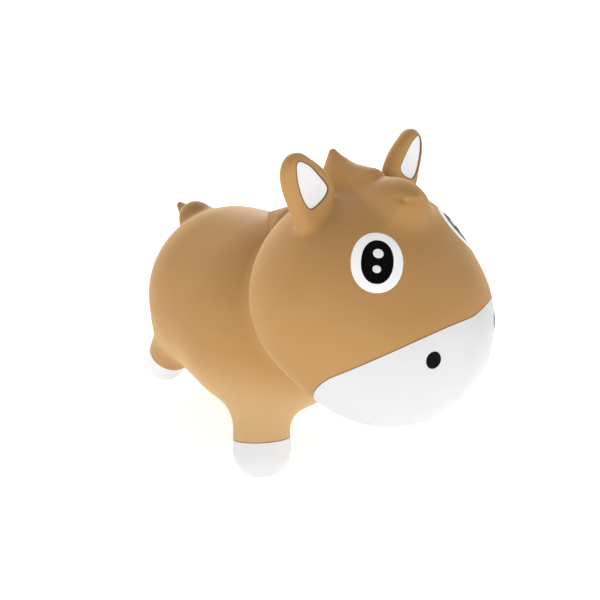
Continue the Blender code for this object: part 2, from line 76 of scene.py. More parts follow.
# Ears: outline and lining are (outward, up) from the ear's middle, going round
ear = {
    "heading": 102.5, "elevation": 54.5, "lean": 15.0, "sweep": 8.7, "turn": -1.0, "lift": 0.035,
    "halfThickness": 0.0108, "forward": 0.0006, "fillet": 0.013, "recess": 0.0011,
    "reach": 0.050, "near": 0.020, "liningReach": 0.03, "liningNear": 0.014,
    "rootReach": 0.014, "rootBend": 0.006, "roughShare": 0.9,
    "outline": (
        (0.0310, -0.010), (0.0323, 0.004), (0.0318, 0.016), (0.0285, 0.027), (0.0225, 0.0352),
        (0.0140, 0.0400), (0.0060, 0.0401), (-0.0020, 0.0368), (-0.0110, 0.0275), (-0.0200, 0.0170),
        (-0.0270, 0.0065), (-0.0315, -0.004), (-0.0340, -0.014), (-0.0318, -0.0225), (-0.0255, -0.029),
        (-0.0160, -0.036), (-0.0040, -0.043), (0.0100, -0.046), (0.0220, -0.042), (0.0285, -0.030),
    ),
    "lining": (
        (0.0188, 0.0215), (0.0165, 0.0290), (0.0135, 0.0325), (0.0095, 0.0325), (0.0040, 0.0280),
        (-0.0015, 0.0225), (-0.0065, 0.0150), (-0.0105, 0.0080), (-0.0145, 0.0005), (-0.0175, -0.0060),
        (-0.0182, -0.0100), (-0.0160, -0.0135), (-0.0110, -0.0168), (-0.0040, -0.0190), (0.0040, -0.0203),
        (0.0110, -0.0202), (0.0155, -0.0165), (0.0185, -0.0090), (0.0200, 0.0000), (0.0202, 0.0120),
    ),
}
# Hair: each egg is (y, z, radius) at its start and at its end
mane = {
    "tuft": ((-0.0477, 0.441, 0.0055), (-0.0625, 0.405, 0.0235)),
    "ridge": ((-0.0660, 0.4175, 0.0170), (-0.1080, 0.4185, 0.0180)),
    "ridgeFillet": 0.016, "fillet": 0.018,
}
forelock = {
    "place": (-0.1334, 0.3977), "half": (0.0389, 0.0488, 0.0328), "slope": -15.6,
    "curl": ((-0.0143, -0.1683, 0.4205), (-0.0012, -0.1747, 0.4189)), "curlRadii": (0.0030, 0.0030),
    "curlFillet": 0.0035, "hollow": (-0.0204, -0.1699, 0.4218), "hollowRadius": 0.0060, "hollowFillet": 0.004,
    "crispFillet": 0.004, "softFillet": 0.024, "crispBehind": -0.138, "softAhead": -0.168,
}
napeTuft = {"egg": ((0.0568, 0.3335, 0.0055), (0.0, 0.3233, 0.040)), "fillet": 0.005}
tail = {
    "place": (0.2268, 0.274), "half": (0.027, 0.036, 0.034),
    "point": ((0.2500, 0.279, 0.015), (0.2745, 0.2895, 0.0060)),
    "pointFillet": 0.006, "fillet": 0.014,
}
skinBuild = {
    "voxel": 0.0027, "roundSteps": 24, "highSteps": 12, "settleSteps": 7, "lastSteps": 2, "castSteps": 60,
    "evenSteps": 4, "evenPull": 0.6, "snap": 0.0007, "probe": 0.0003,
    "lineSteps": 5, "lineMove": 0.002, "leastSteep": 0.02, "soleFillet": 0.0015,
}


# Distance of each point from a form, below zero inside it
def joined(first, second, fillet):
    share = np.clip(0.5 + 0.5 * (second - first) / fillet, 0, 1)
    return second * (1 - share) + first * share - fillet * share * (1 - share)


def egg(points, start, end, startRadius, endRadius, widthShare=1.0):
    squeeze = np.array([1 / widthShare, 1, 1])
    start, end = np.array(start) * squeeze, np.array(end) * squeeze
    along = end - start
    length = math.sqrt(along @ along)
    offset = points * squeeze - start
    height = offset @ (along / length)
    aside = np.sqrt(np.maximum((offset * offset).sum(axis=1) - height * height, 0))
    taper = (startRadius - endRadius) / length
    nearest = np.clip(height - aside * taper / math.sqrt(1 - taper * taper), 0, length)
    return np.hypot(aside, height - nearest) - (startRadius - taper * nearest)


def lobe(points, centre, half, axes):
    offset = (points - np.array(centre)) @ np.array(axes).T
    sizes = np.array(half)
    near = np.sqrt(((offset / sizes) ** 2).sum(axis=1))
    steep = np.sqrt(((offset / sizes**2) ** 2).sum(axis=1))
    return near * (near - 1) / np.maximum(steep, 1e-9)


def middleEgg(points, ends):
    (startY, startZ, startRadius), (endY, endZ, endRadius) = ends
    return egg(points, (0, startY, startZ), (0, endY, endZ), startRadius, endRadius)


def slopedAxes(degrees):
    turn = math.radians(degrees)
    flat, steep = math.cos(turn), math.sin(turn)
    return Vector((1, 0, 0)), Vector((0, flat, steep)), Vector((0, -steep, flat))


def folded(points):
    return np.column_stack([np.abs(points[:, 0]), points[:, 1], points[:, 2]])


def headForm(points):
    form = egg(points, head["cranium"], head["snout"], head["craniumRadius"],
               head["snoutRadius"], head["widthShare"])
    offset = (points - np.array(head["cheek"])) / np.array([head["widthShare"], 1, 1])
    return joined(form, np.linalg.norm(offset, axis=1) - head["cheekRadius"], head["cheekFillet"])


flatZ = trunk["chest"][2] - math.sqrt(trunk["chestRadius"] ** 2 - trunk["valveFlat"] ** 2)


def trunkForm(points):
    form = egg(points, trunk["rump"], trunk["chest"], trunk["rumpRadius"],
               trunk["chestRadius"], trunk["widthShare"])
    aside = np.hypot(points[:, 0], points[:, 1] - trunk["chest"][1])
    boss = np.clip((trunk["bossRadius"] - aside) / 0.001, 0, 1) * trunk["bossHeight"]
    return np.maximum(form, flatZ - boss - points[:, 2])


def legForm(side, leg):
    return egg(side, leg["foot"], leg["shoulder"], leg["hoofRadius"], leg["shoulderRadius"])


def headingDirection(heading, elevation):
    heading, elevation = math.radians(heading), math.radians(elevation)
    flat = math.cos(elevation)
    return Vector((math.sin(heading) * flat, -math.cos(heading) * flat, math.sin(elevation)))


def reached(form, start, direction):
    travel = 0.0
    for _ in range(skinBuild["castSteps"]):
        travel -= form(np.array([start + direction * travel]))[0]
    return start + direction * travel


def slopes(form, points, probe=skinBuild["probe"]):
    corners = np.array([(1, -1, -1), (-1, -1, 1), (-1, 1, -1), (1, 1, 1)], float)
    found = sum(c * form(points + c * probe)[:, None] for c in corners)
    return found / np.maximum(np.linalg.norm(found, axis=1), 1e-12)[:, None]


earBase = reached(headForm, Vector(head["cranium"]), headingDirection(ear["heading"], ear["elevation"]))
earNormal = Vector(slopes(headForm, np.array([earBase]))[0])
earUp = Vector((math.sin(math.radians(ear["lean"])), math.sin(math.radians(ear["sweep"])),
                math.cos(math.radians(ear["lean"])))).normalized()
earFacing = Vector((math.sin(math.radians(ear["turn"])), -math.cos(math.radians(ear["turn"])), 0))
earFacing = (earFacing - earUp * earFacing.dot(earUp)).normalized()
earAxes = (earUp.cross(earFacing), earUp, earFacing)
earMiddle = earBase + earUp * ear["lift"]


def smoothLoop(corners, fine=6):
    # A closed smooth line through the corners
    corners = np.array(corners)
    steps = np.arange(fine)[:, None, None] / fine
    before, here = np.roll(corners, 1, axis=0), corners
    after, later = np.roll(corners, -1, axis=0), np.roll(corners, -2, axis=0)
    line = 0.5 * (2 * here + (after - before) * steps
                  + (2 * before - 5 * here + 4 * after - later) * steps**2
                  + (3 * here - before - 3 * after + later) * steps**3)
    return line.transpose(1, 0, 2).reshape(-1, 2)


def loopDistance(flat, loop):
    # Distance to a closed flat line, below zero inside it
    ahead = np.roll(loop, -1, axis=0) - loop
    offset = flat[:, None] - loop[None]
    share = np.clip((offset * ahead).sum(axis=2) / (ahead * ahead).sum(axis=1), 0, 1)
    gap = offset - share[:, :, None] * ahead
    reach = np.sqrt((gap * gap).sum(axis=2).min(axis=1))
    nextY = np.roll(loop[:, 1], -1)
    spans = (loop[None, :, 1] > flat[:, 1:]) != (nextY[None] > flat[:, 1:])
    rise = np.where(np.abs(ahead[:, 1]) < 1e-12, 1e-12, ahead[:, 1])
    left = flat[:, :1] < loop[None, :, 0] + (flat[:, 1:] - loop[None, :, 1]) / rise * ahead[:, 0]
    inside = (spans & left).sum(axis=1) % 2 == 1
    return np.where(inside, -reach, reach)


earOutline = smoothLoop(ear["outline"])
earLining = smoothLoop(ear["lining"])


def inEar(points):
    local = (points - np.array(earMiddle)) @ np.array(earAxes).T
    return local[:, :2], local[:, 2] - ear["forward"]


def earForm(side):
    flat, ahead = inEar(side)
    form = np.linalg.norm(side - np.array(earMiddle), axis=1) - ear["reach"]
    near = form < ear["near"]
    if near.any():
        radius = ear["halfThickness"]
        rim = loopDistance(flat[near], earOutline) + radius
        form[near] = np.hypot(np.maximum(rim, 0), ahead[near]) - radius
    return form


def liningLevel(points):
    side = folded(points)
    flat, ahead = inEar(side)
    level = np.linalg.norm(side - np.array(earMiddle), axis=1) - ear["liningReach"]
    near = (level < ear["liningNear"]) & (ahead > 0)
    level[~near] = np.maximum(level[~near], ear["liningNear"])
    if near.any():
        level[near] = loopDistance(flat[near], earLining)
    return level


def maneForm(points):
    return joined(middleEgg(points, mane["tuft"]), middleEgg(points, mane["ridge"]), mane["ridgeFillet"])


def forelockForm(points):
    pad = lobe(points, (0, *forelock["place"]), forelock["half"], slopedAxes(forelock["slope"]))
    hollow = np.linalg.norm(points - np.array(forelock["hollow"]), axis=1) - forelock["hollowRadius"]
    pad = -joined(-pad, hollow, forelock["hollowFillet"])
    return joined(pad, egg(points, *forelock["curl"], *forelock["curlRadii"]), forelock["curlFillet"])


def forelockFillet(points):
    # Crisp behind, where the lock lifts off the head, and soft ahead
    share = (points[:, 1] - forelock["softAhead"]) / (forelock["crispBehind"] - forelock["softAhead"])
    crispness = np.clip(share, 0, 1)
    return forelock["softFillet"] + (forelock["crispFillet"] - forelock["softFillet"]) * crispness


def napeForm(points):
    return middleEgg(points, napeTuft["egg"])


def tailForm(points):
    dock = lobe(points, (0, *tail["place"]), tail["half"], slopedAxes(0))
    return joined(dock, middleEgg(points, tail["point"]), tail["pointFillet"])


def skinForm(points):
    side = folded(points)
    form = trunkForm(points)
    for leg in legs.values():
        form = joined(form, legForm(side, leg), legCuts["fillet"])
    form = joined(form, headForm(points), head["neckFillet"])
    form = joined(form, earForm(side), ear["fillet"])
    form = joined(form, maneForm(points), mane["fillet"])
    form = joined(form, forelockForm(points), forelockFillet(points))
    form = joined(form, napeForm(points), napeTuft["fillet"])
    form = joined(form, tailForm(points), tail["fillet"])
    return -joined(-form, points[:, 2], skinBuild["soleFillet"])


# Roughing out the skin from overlapping balls, then laying it on the form
def addBall(shape, radius, place):
    ball = bmesh.ops.create_uvsphere(shape, u_segments=skinBuild["roundSteps"],
                                     v_segments=skinBuild["highSteps"], radius=radius, matrix=place)
    return ball["verts"]


def addEgg(shape, start, end, startRadius, endRadius, widthShare=1.0):
    made = []
    for centre, radius in ((start, startRadius), (end, endRadius)):
        made += addBall(shape, radius, Matrix.Translation(centre) @ Matrix.Diagonal((widthShare, 1, 1, 1)))
    hull = bmesh.ops.convex_hull(shape, input=made)
    inside = [part for part in hull["geom_interior"] if isinstance(part, bmesh.types.BMVert)]
    bmesh.ops.delete(shape, geom=inside, context="VERTS")


def addLobe(shape, centre, half, axes):
    turn = Matrix(axes).transposed().to_4x4()
    addBall(shape, 1, Matrix.Translation(centre) @ turn @ Matrix.Diagonal((*half, 1)))


def roughSkin():
    shape = bmesh.new()
    addEgg(shape, head["cranium"], head["snout"], head["craniumRadius"], head["snoutRadius"],
           head["widthShare"])
    addLobe(shape, head["cheek"], [head["cheekRadius"] * share for share in (head["widthShare"], 1, 1)],
            slopedAxes(0))
    addEgg(shape, trunk["rump"], trunk["chest"], trunk["rumpRadius"], trunk["chestRadius"],
           trunk["widthShare"])
    for ends in (mane["tuft"], mane["ridge"], napeTuft["egg"], tail["point"]):
        (startY, startZ, startRadius), (endY, endZ, endRadius) = ends
        addEgg(shape, (0, startY, startZ), (0, endY, endZ), startRadius, endRadius)
    addLobe(shape, (0, *forelock["place"]), forelock["half"], slopedAxes(forelock["slope"]))
    addLobe(shape, (0, *tail["place"]), tail["half"], slopedAxes(0))
    addEgg(shape, *forelock["curl"], *forelock["curlRadii"])
    for side in (1, -1):
        mirror = Vector((side, 1, 1))
        for leg in legs.values():
            addEgg(shape, Vector(leg["foot"]) * mirror, Vector(leg["shoulder"]) * mirror,
                   leg["hoofRadius"], leg["shoulderRadius"])
        corners = []
        for outward, rise in ear["outline"]:
            for ahead in (-ear["roughShare"], ear["roughShare"]):
                inner = 1 - abs(ahead) * ear["halfThickness"] * 0.5 / math.hypot(outward, rise)
                place = earMiddle + earAxes[0] * outward * inner + earAxes[1] * rise * inner
                place = place + earAxes[2] * (ear["forward"] + ahead * ear["halfThickness"])
                corners.append(shape.verts.new(place * mirror))
        bmesh.ops.convex_hull(shape, input=corners)
    mesh = bpy.data.meshes.new("roughSkin")
    shape.to_mesh(mesh)
    shape.free()
    thing = bpy.data.objects.new("roughSkin", mesh)
    bpy.context.scene.collection.objects.link(thing)
    remesh = thing.modifiers.new("remesh", "REMESH")
    remesh.mode = "VOXEL"
    remesh.voxel_size = skinBuild["voxel"]
    graph = bpy.context.evaluated_depsgraph_get()
    made = bpy.data.meshes.new_from_object(thing.evaluated_get(graph))
    bpy.data.objects.remove(thing, do_unlink=True)
    split = bmesh.new()
    split.from_mesh(made)
    bmesh.ops.triangulate(split, faces=split.faces)
    split.to_mesh(made)
    split.free()
    points = np.empty(len(made.vertices) * 3)
    made.vertices.foreach_get("co", points)
    faces = np.empty(len(made.polygons) * 3, int)
    made.polygons.foreach_get("vertices", faces)
    return points.reshape(-1, 3), faces.reshape(-1, 3)


def settle(points, steps):
    for _ in range(steps):
        points = points - slopes(skinForm, points) * skinForm(points)[:, None]
    return points


def evened(points, faces, steps):
    # Slides each point towards the middle of its neighbours, along the skin
    edges = np.concatenate([faces[:, [0, 1]], faces[:, [1, 2]], faces[:, [2, 0]]])
    count = np.bincount(edges[:, 0], minlength=len(points))[:, None]
    for _ in range(steps):
        total = np.column_stack([
            np.bincount(edges[:, 0], weights=points[edges[:, 1], axis], minlength=len(points))
            for axis in range(3)
        ])
        normals = slopes(skinForm, points)
        move = (total / count - points) * skinBuild["evenPull"]
        points = points + move - normals * (move * normals).sum(axis=1)[:, None]
        points = settle(points, 1)
    return points


# Cutting the skin cleanly along the line where a level is zero
def ontoLine(points, level):
    probe = skinBuild["probe"]
    for _ in range(skinBuild["lineSteps"]):
        normals = slopes(skinForm, points)
        rise = np.column_stack([
            (level(points + step) - level(points - step)) / (2 * probe) for step in np.eye(3) * probe
        ])
        rise = rise - normals * (rise * normals).sum(axis=1)[:, None]
        steep = np.maximum((rise * rise).sum(axis=1), skinBuild["leastSteep"])[:, None]
        move = rise * level(points)[:, None] / steep
        far = np.maximum(np.linalg.norm(move, axis=1) / skinBuild["lineMove"], 1)[:, None]
        points = settle(points - move / far, 1)
    return points


def cutAlong(skin, level):
    points, faces = skin["points"], skin["faces"]
    height = level(points)
    crossing = (height[faces].min(axis=1) < 0) & (height[faces].max(axis=1) > 0)
    near = np.unique(faces[crossing])
    near = near[(np.abs(height[near]) < skinBuild["snap"]) & ~skin["locked"][near]]
    points[near] = ontoLine(points[near], level)
    height[near] = 0
    sign = np.sign(height).astype(int)
    crossing = (sign[faces].min(axis=1) < 0) & (sign[faces].max(axis=1) > 0)
    cut = faces[crossing]
    edges = np.sort(np.concatenate([cut[:, [0, 1]], cut[:, [1, 2]], cut[:, [2, 0]]]), axis=1)
    edges = np.unique(edges[sign[edges[:, 0]] * sign[edges[:, 1]] < 0], axis=0)
    start, end = edges[:, 0], edges[:, 1]
    share = (height[start] / (height[start] - height[end]))[:, None]
    fresh = ontoLine(points[start] + (points[end] - points[start]) * share, level)
    number = {(int(a), int(b)): len(points) + i for i, (a, b) in enumerate(edges)}
    made = []
    for face in cut:
        first, second, third = (int(corner) for corner in face)
        for _ in range(3):
            if sign[first] == 0 or sign[first] * sign[second] < 0 and sign[first] * sign[third] < 0:
                break
            first, second, third = second, third, first
        if sign[first] == 0:
            middle = number[tuple(sorted((second, third)))]
            made += [(first, second, middle), (first, middle, third)]
        else:
            left = number[tuple(sorted((first, second)))]
            right = number[tuple(sorted((first, third)))]
            made += [(first, left, right), (left, second, third), (left, third, right)]
    onLine = np.zeros(len(points) + len(fresh), bool)
    onLine[:len(points)] = skin["locked"]
    onLine[near] = True
    onLine[len(points):] = True
    skin["points"] = np.vstack([points, fresh])
    skin["faces"] = np.vstack([faces[~crossing], np.array(made, int).reshape(-1, 3)])
    skin["locked"] = onLine


# Lines between the pieces: below zero inside the piece
muzzle = {
    "tilt": 40.3, "height": 0.0727, "frontDip": 0.0095, "dipWidth": 0.045, "dipRound": 0.012,
    "rearFrom": -0.187, "rearDrop": 10.7, "neckReach": 0.05,
}


def muzzleLevel(points):
    turn = math.radians(muzzle["tilt"])
    line = muzzle["frontDip"] * np.exp(-np.hypot(points[:, 0], muzzle["dipRound"]) / muzzle["dipWidth"])
    line = line + muzzle["rearDrop"] * np.maximum(points[:, 1] - muzzle["rearFrom"], 0) ** 2
    height = points[:, 1] * math.sin(turn) + points[:, 2] * math.cos(turn)
    plane = height - muzzle["height"] + line
    return np.maximum(plane, headForm(points) - trunkForm(points) - muzzle["neckReach"])


def acrossLeg(points, leg, rise, reach):
    # A flat cut across the leg, at a rise above the foot's middle
    foot = Vector(leg["foot"])
    up = (Vector(leg["shoulder"]) - foot).normalized()
    offset = folded(points) - np.array(foot)
    return np.maximum(offset @ np.array(up) - rise, np.linalg.norm(offset, axis=1) - reach)


def hoofLevel(points, leg):
    return acrossLeg(points, leg, leg["paintRise"], legCuts["paintReach"])


def legLevel(points, leg):
    return acrossLeg(points, leg, leg["bendRise"], legCuts["bendReach"])


def headLevel(points):
    return headForm(points) - trunkForm(points)


edge = {"ear": 0.001, "hair": 0.001}
levels = {
    "lining": liningLevel,
    "muzzle": muzzleLevel,
    "hoofFront": lambda p: hoofLevel(p, legs["front"]),
    "hoofHind": lambda p: hoofLevel(p, legs["hind"]),
    "legFront": lambda p: legLevel(p, legs["front"]),
    "legHind": lambda p: legLevel(p, legs["hind"]),
    "ear": lambda p: earForm(folded(p)) - edge["ear"],
    "forelock": lambda p: forelockForm(p) - edge["hair"],
    "mane": lambda p: maneForm(p) - edge["hair"],
    "nape": lambda p: napeForm(p) - edge["hair"],
    "tail": lambda p: tailForm(p) - edge["hair"],
    "head": headLevel,
}


# Painted shade and light: the nape tuft and tail are painted a little darker, standing in for the shade on
# them, and the chest and front legs a little paler, standing in for light falling on them from below and in
# front
paintedShading = {
    "napeReach": 0.004, "tailReach": 0.008, "paintedLightTop": 0.200, "paintedLightBottom": 0.085,
    "paintedLightRear": 0.150, "paintedLightFront": 0.080, "lineReach": 0.02,
}


def eased(share):
    share = np.clip(share, 0, 1)
    return share * share * (3 - 2 * share)


# Painted shade near the nape tuft and tail, and painted light low on the chest and front legs, as shares from
# 0 to 1
def paintedShadeAndLight(points):
    deep = np.maximum(1 - napeForm(points) / paintedShading["napeReach"], 1 - tailForm(points) / paintedShading["tailReach"])
    low = (paintedShading["paintedLightTop"] - points[:, 2]) / (paintedShading["paintedLightTop"] - paintedShading["paintedLightBottom"])
    ahead = (paintedShading["paintedLightRear"] - points[:, 1]) / (paintedShading["paintedLightRear"] - paintedShading["paintedLightFront"])
    return eased(deep), eased(low) * eased(ahead)


def makeSkin():
    points, faces = roughSkin()
    points = settle(points, skinBuild["settleSteps"])
    points = evened(points, faces, skinBuild["evenSteps"])
    points = settle(points, skinBuild["lastSteps"])
    skin = {"points": points, "faces": faces, "locked": np.zeros(len(points), bool)}
    for level in levels.values():
        cutAlong(skin, level)
    zone = np.full(len(skin["faces"]), -1)
    for number, level in enumerate(levels.values()):
        inside = level(skin["points"])[skin["faces"]].mean(axis=1) < 0
        zone[(zone < 0) & inside] = number
    skin["zone"] = zone
    skin["normals"] = slopes(skinForm, skin["points"])
    # Distance to the paint lines, for the painted shade along them
    paintLines = [levels[name] for name in ("lining", "muzzle", "hoofFront", "hoofHind")]
    distance = np.min([np.abs(level(skin["points"])) for level in paintLines], axis=0)
    skin["lineDistance"] = np.minimum(distance, paintedShading["lineReach"])
    # Painted shade and painted light, carried on the skin for the tan finish
    skin["deep"], skin["pale"] = paintedShadeAndLight(skin["points"])
    return skin


def newObject(name, mesh, finish):
    thing = bpy.data.objects.new(name, mesh)
    bpy.context.scene.collection.objects.link(thing)
    mesh.materials.append(finish)
    return thing


def meshFrom(name, points, faces, normals):
    mesh = bpy.data.meshes.new(name)
    mesh.from_pydata(points.tolist(), [], [list(face) for face in faces])
    mesh.shade_smooth()
    mesh.normals_split_custom_set_from_vertices(normals.tolist())
    return mesh


def zoneFaces(skin, zoneName, side):
    number = list(levels).index(zoneName) if zoneName else -1
    chosen = skin["faces"][skin["zone"] == number]
    if side:
        middle = skin["points"][chosen][:, :, 0].mean(axis=1)
        chosen = chosen[middle * side > 0]
    return chosen


def faceEdges(faces):
    return {tuple(sorted((int(face[i]), int(face[i - 1])))) for face in faces for i in range(3)}


def recessWall(skin, outer, inner, level, depth):
    # The low wall round a recess, along the line that both zones share
    shared = sorted(faceEdges(outer) & faceEdges(inner))
    rim = sorted({corner for edge in shared for corner in edge})
    number = {corner: i for i, corner in enumerate(rim)}
    top = skin["points"][rim]
    probe = skinBuild["probe"]
    inwards = -np.column_stack([level(top + step) - level(top - step) for step in np.eye(3) * probe])
    inwards = inwards / np.maximum(np.linalg.norm(inwards, axis=1), 1e-12)[:, None]
    faces = [(number[a], number[b], number[b] + len(rim), number[a] + len(rim)) for a, b in shared]
    return np.vstack([top, top - skin["normals"][rim] * depth]), faces, np.vstack([inwards, inwards])


def skinPiece(name, skin, zoneName, side, finish, sink=0.0, wall=None):
    used, corners = np.unique(zoneFaces(skin, zoneName, side), return_inverse=True)
    points, normals = skin["points"][used] - skin["normals"][used] * sink, skin["normals"][used]
    faces = corners.reshape(-1, 3).tolist()
    if wall:
        faces += [[corner + len(points) for corner in face] for face in wall[1]]
        points, normals = np.vstack([points, wall[0]]), np.vstack([normals, wall[2]])
    mesh = meshFrom(name, points, faces, normals)
    for field in ("lineDistance", "deep", "pale"):
        values = np.zeros(len(points), np.float32)
        values[:len(used)] = skin[field][used]
        mesh.attributes.new(field, "FLOAT", "POINT").data.foreach_set("value", values)
    return newObject(name, mesh, finish)


# Finishes. Each grows its colour, grain and wear from noise in the piece's own space
def newFinish(name):
    finish = bpy.data.materials.new(name)
    finish.use_nodes = True
    nodes, links = finish.node_tree.nodes, finish.node_tree.links
    return finish, nodes, links, nodes["Principled BSDF"]


def noise(nodes, links, place, scale, detail=3.0, roughness=0.55):
    made = nodes.new("ShaderNodeTexNoise")
    made.inputs["Scale"].default_value = scale
    made.inputs["Detail"].default_value = detail
    made.inputs["Roughness"].default_value = roughness
    links.new(place, made.inputs["Vector"])
    return made.outputs["Fac"]


def mapped(nodes, links, value, fromLow, fromHigh, toLow, toHigh, smooth=False):
    made = nodes.new("ShaderNodeMapRange")
    made.interpolation_type = "SMOOTHSTEP" if smooth else "LINEAR"
    ends = {"From Min": fromLow, "From Max": fromHigh, "To Min": toLow, "To Max": toHigh}
    for socket, number in ends.items():
        made.inputs[socket].default_value = number
    links.new(value, made.inputs["Value"])
    return made.outputs["Result"]


def mixed(nodes, links, share, first, second):
    made = nodes.new("ShaderNodeMix")
    made.data_type = "RGBA"
    sockets = [s for s in made.inputs if s.type == "RGBA"]
    for socket, colour in zip(sockets, (first, second)):
        if isinstance(colour, tuple):
            socket.default_value = (*colour, 1)
        else:
            links.new(colour, socket)
    links.new(share, made.inputs["Factor"])
    return [s for s in made.outputs if s.type == "RGBA"][0]


def calculated(nodes, links, first, second, kind="MULTIPLY"):
    made = nodes.new("ShaderNodeMath")
    made.operation = kind
    for socket, value in zip(made.inputs, (first, second)):
        if isinstance(value, (int, float)):
            socket.default_value = value
        else:
            links.new(value, socket)
    return made.outputs[0]


def bumped(nodes, links, height, strength, distance, under=None):
    made = nodes.new("ShaderNodeBump")
    made.inputs["Strength"].default_value = strength
    made.inputs["Distance"].default_value = distance
    links.new(height, made.inputs["Height"])
    if under:
        links.new(under, made.inputs["Normal"])
    return made.outputs["Normal"]


def surfaceField(nodes, name):
    made = nodes.new("ShaderNodeAttribute")
    made.attribute_name = name
    return made.outputs["Fac"]


# What all the vinyls share; the ranges are (from low, from high), then (to low, to high)
grain = {
    "cloudRange": (0.3, 0.7), "speckRange": (0.62, 0.78), "edgeRange": (0.52, 0.60),
    "patchScale": 60.0, "patchRange": (0.4, 0.6, 0.3, 1), "roughScale": 35.0, "roughRange": (0.3, 0.7),
    "grainHeight": 0.0002, "waveHeight": 0.001, "seamHalfWidth": 0.0009, "seamHeight": 0.0003,
    "sheenRoughness": 0.35,
}


def vinyl(name, look):
    finish, nodes, links, shader = newFinish(name)
    place = nodes.new("ShaderNodeTexCoord").outputs["Object"]
    cloud = noise(nodes, links, place, look["cloudScale"], 2.0)
    speck = noise(nodes, links, place, look["speckScale"], 4.0, 0.7)
    cloud = mapped(nodes, links, cloud, *grain["cloudRange"], 0, 1)
    colour = mixed(nodes, links, cloud, look["dark"], look["light"])
    speck = mapped(nodes, links, speck, *grain["speckRange"], 0, look["speckShare"])
    colour = mixed(nodes, links, speck, colour, look["worn"])
    worn = nodes.new("ShaderNodeNewGeometry").outputs["Pointiness"]
    worn = mapped(nodes, links, worn, *grain["edgeRange"], 0, look["wearShare"], True)
    patches = noise(nodes, links, place, grain["patchScale"])
    worn = calculated(nodes, links, worn, mapped(nodes, links, patches, *grain["patchRange"]))
    colour = mixed(nodes, links, worn, colour, look["worn"])
    # Painted shade and light: mixes the colour towards a darker or a paler tan where the skin's fields say
    for field, fieldColour, fieldShare in look["paintedShadeAndLight"]:
        share = mapped(nodes, links, surfaceField(nodes, field), 0, 1, 0, fieldShare)
        colour = mixed(nodes, links, share, colour, fieldColour)
    # Painted shade: a thin dark line on the tan along the paint lines, standing in for shade in the crease
    # there
    if look["creaseShadeShare"]:
        line = surfaceField(nodes, "lineDistance")
        line = mapped(nodes, links, line, 0.0, look["creaseShadeWidth"], look["creaseShadeShare"], 0, True)
        colour = mixed(nodes, links, line, colour, look["creaseShadeColour"])
    links.new(colour, shader.inputs["Base Color"])
    rough = noise(nodes, links, place, grain["roughScale"], 3.0)
    rough = mapped(nodes, links, rough, *grain["roughRange"], *look["roughness"])
    links.new(rough, shader.inputs["Roughness"])
    pores = noise(nodes, links, place, look["grainScale"], 2.0)
    normal = bumped(nodes, links, pores, look["grainStrength"], grain["grainHeight"])
    wave = noise(nodes, links, place, look["waveScale"], 2.0)
    normal = bumped(nodes, links, wave, look["waveStrength"], grain["waveHeight"], normal)
    parts = nodes.new("ShaderNodeSeparateXYZ")
    links.new(place, parts.inputs[0])
    seam = calculated(nodes, links, parts.outputs["X"], 0, "ABSOLUTE")
    seam = mapped(nodes, links, seam, 0.0, grain["seamHalfWidth"], 1, 0, True)
    normal = bumped(nodes, links, seam, look["seamStrength"], grain["seamHeight"], normal)
    links.new(normal, shader.inputs["Normal"])
    shader.inputs["Specular IOR Level"].default_value = look["shine"]
    shader.inputs["Metallic"].default_value = 0.0
    shader.inputs["Sheen Weight"].default_value = look["sheen"]
    shader.inputs["Sheen Roughness"].default_value = grain["sheenRoughness"]
    shader.inputs["Sheen Tint"].default_value = (*look["sheenColour"], 1)
    return finish


tanLook = {
    "dark": (0.420, 0.230, 0.084), "light": (0.457, 0.254, 0.096), "worn": (0.54, 0.35, 0.17),
    "cloudScale": 9.0, "speckScale": 420.0, "speckShare": 0.10, "wearShare": 0.22,
    # Painted shade along the paint lines
    "creaseShadeShare": 0.95, "creaseShadeWidth": 0.0022, "creaseShadeColour": (0.13, 0.075, 0.040),
    "roughness": (0.50, 0.60), "grainScale": 1300.0, "grainStrength": 0.10,
    "waveScale": 26.0, "waveStrength": 0.05, "seamStrength": 0.10, "shine": 0.07,
    "sheen": 0.34, "sheenColour": (1.0, 0.76, 0.42),
    # Painted shade on the tufts and painted light on the chest and front legs
    "paintedShadeAndLight": (("deep", (0.32, 0.170, 0.058), 1.0), ("pale", (0.57, 0.375, 0.185), 0.9)),
}
whiteLook = {
    "dark": (0.60, 0.60, 0.605), "light": (0.635, 0.635, 0.64), "worn": (0.54, 0.53, 0.51),
    "cloudScale": 12.0, "speckScale": 300.0, "speckShare": 0.06, "wearShare": 0.10,
    "creaseShadeShare": 0.0,
    "roughness": (0.34, 0.44), "grainScale": 1100.0, "grainStrength": 0.08,
    "waveScale": 26.0, "waveStrength": 0.05, "seamStrength": 0.08, "shine": 0.45,
    "sheen": 0.0, "sheenColour": (1.0, 1.0, 1.0), "paintedShadeAndLight": (),
}
blackLook = {
    "dark": (0.0015, 0.0015, 0.0016), "light": (0.004, 0.004, 0.004), "worn": (0.02, 0.02, 0.02),
    "cloudScale": 30.0, "speckScale": 500.0, "speckShare": 0.15, "wearShare": 0.10,
    "creaseShadeShare": 0.0,
    "roughness": (0.30, 0.42), "grainScale": 900.0, "grainStrength": 0.10,
    "waveScale": 60.0, "waveStrength": 0.05, "seamStrength": 0.0, "shine": 0.05,
    "sheen": 0.0, "sheenColour": (1.0, 1.0, 1.0), "paintedShadeAndLight": (),
}
glintLook = dict(blackLook, dark=(0.74, 0.73, 0.73), light=(0.80, 0.79, 0.79), worn=(0.6, 0.6, 0.6))
valveLook = dict(
    whiteLook, dark=(0.66, 0.64, 0.57), light=(0.72, 0.70, 0.64), worn=(0.55, 0.52, 0.45),
    cloudScale=90.0, roughness=(0.25, 0.4), shine=0.5,
)
